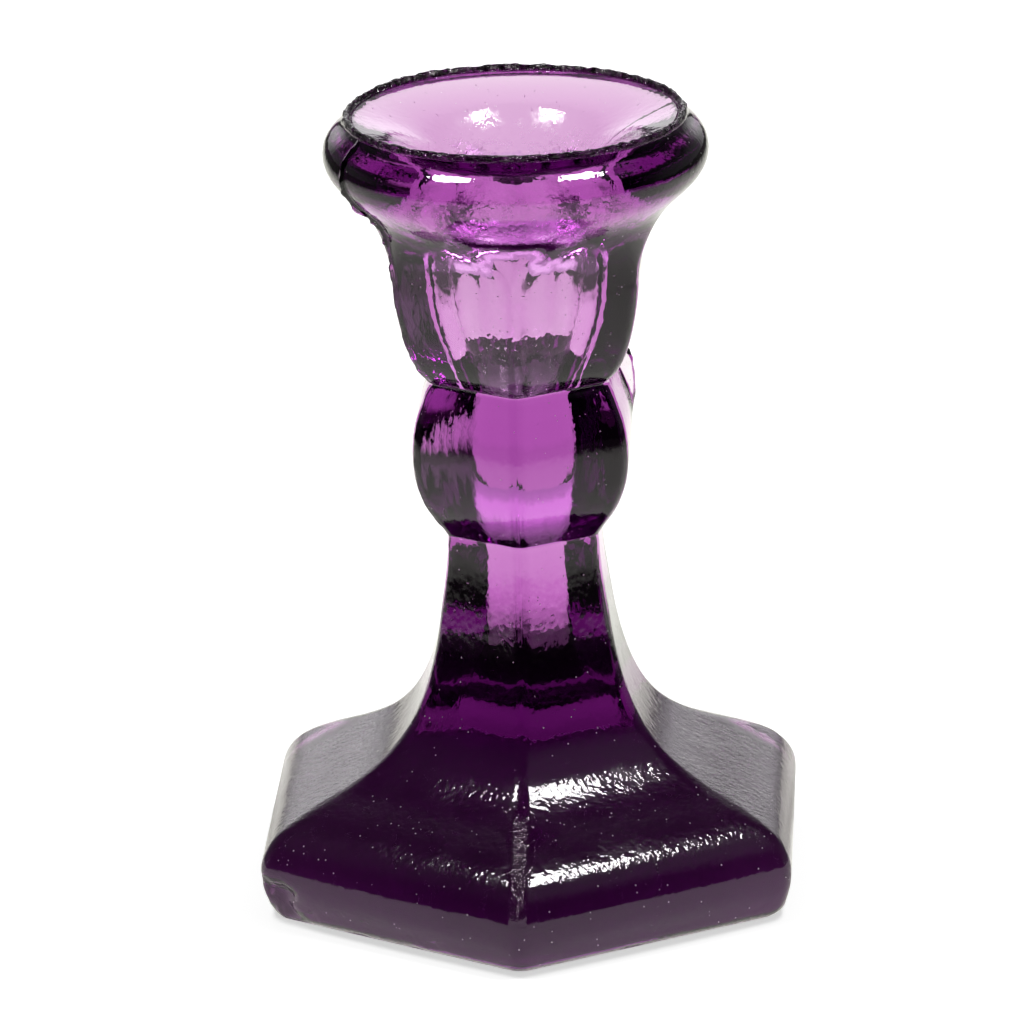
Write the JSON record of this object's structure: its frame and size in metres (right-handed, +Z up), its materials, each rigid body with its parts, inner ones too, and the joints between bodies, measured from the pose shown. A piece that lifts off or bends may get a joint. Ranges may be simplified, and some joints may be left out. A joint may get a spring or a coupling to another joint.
{
  "type": "miniature glass candlestick",
  "caption": "Miniature pressed-glass candlestick: six-sided spreading foot, flared stem, bulging knop and panelled cup under a thick round rolled rim with a candle socket.",
  "frame": {"origin": "centre of the standing face, on the axis of the candle socket", "axes": "+Z up along the socket's axis; a corner of the foot on -Y, so a side of the foot faces +X"},
  "size_m": [0.0508, 0.0582, 0.0766],
  "materials": {
    "amethyst_glass": "fire-polished pressed glass, deep amethyst, slightly pitted"
  },
  "bodies": {
    "root": {"candlestick_body": "amethyst_glass"}
  },
  "joints": []
}
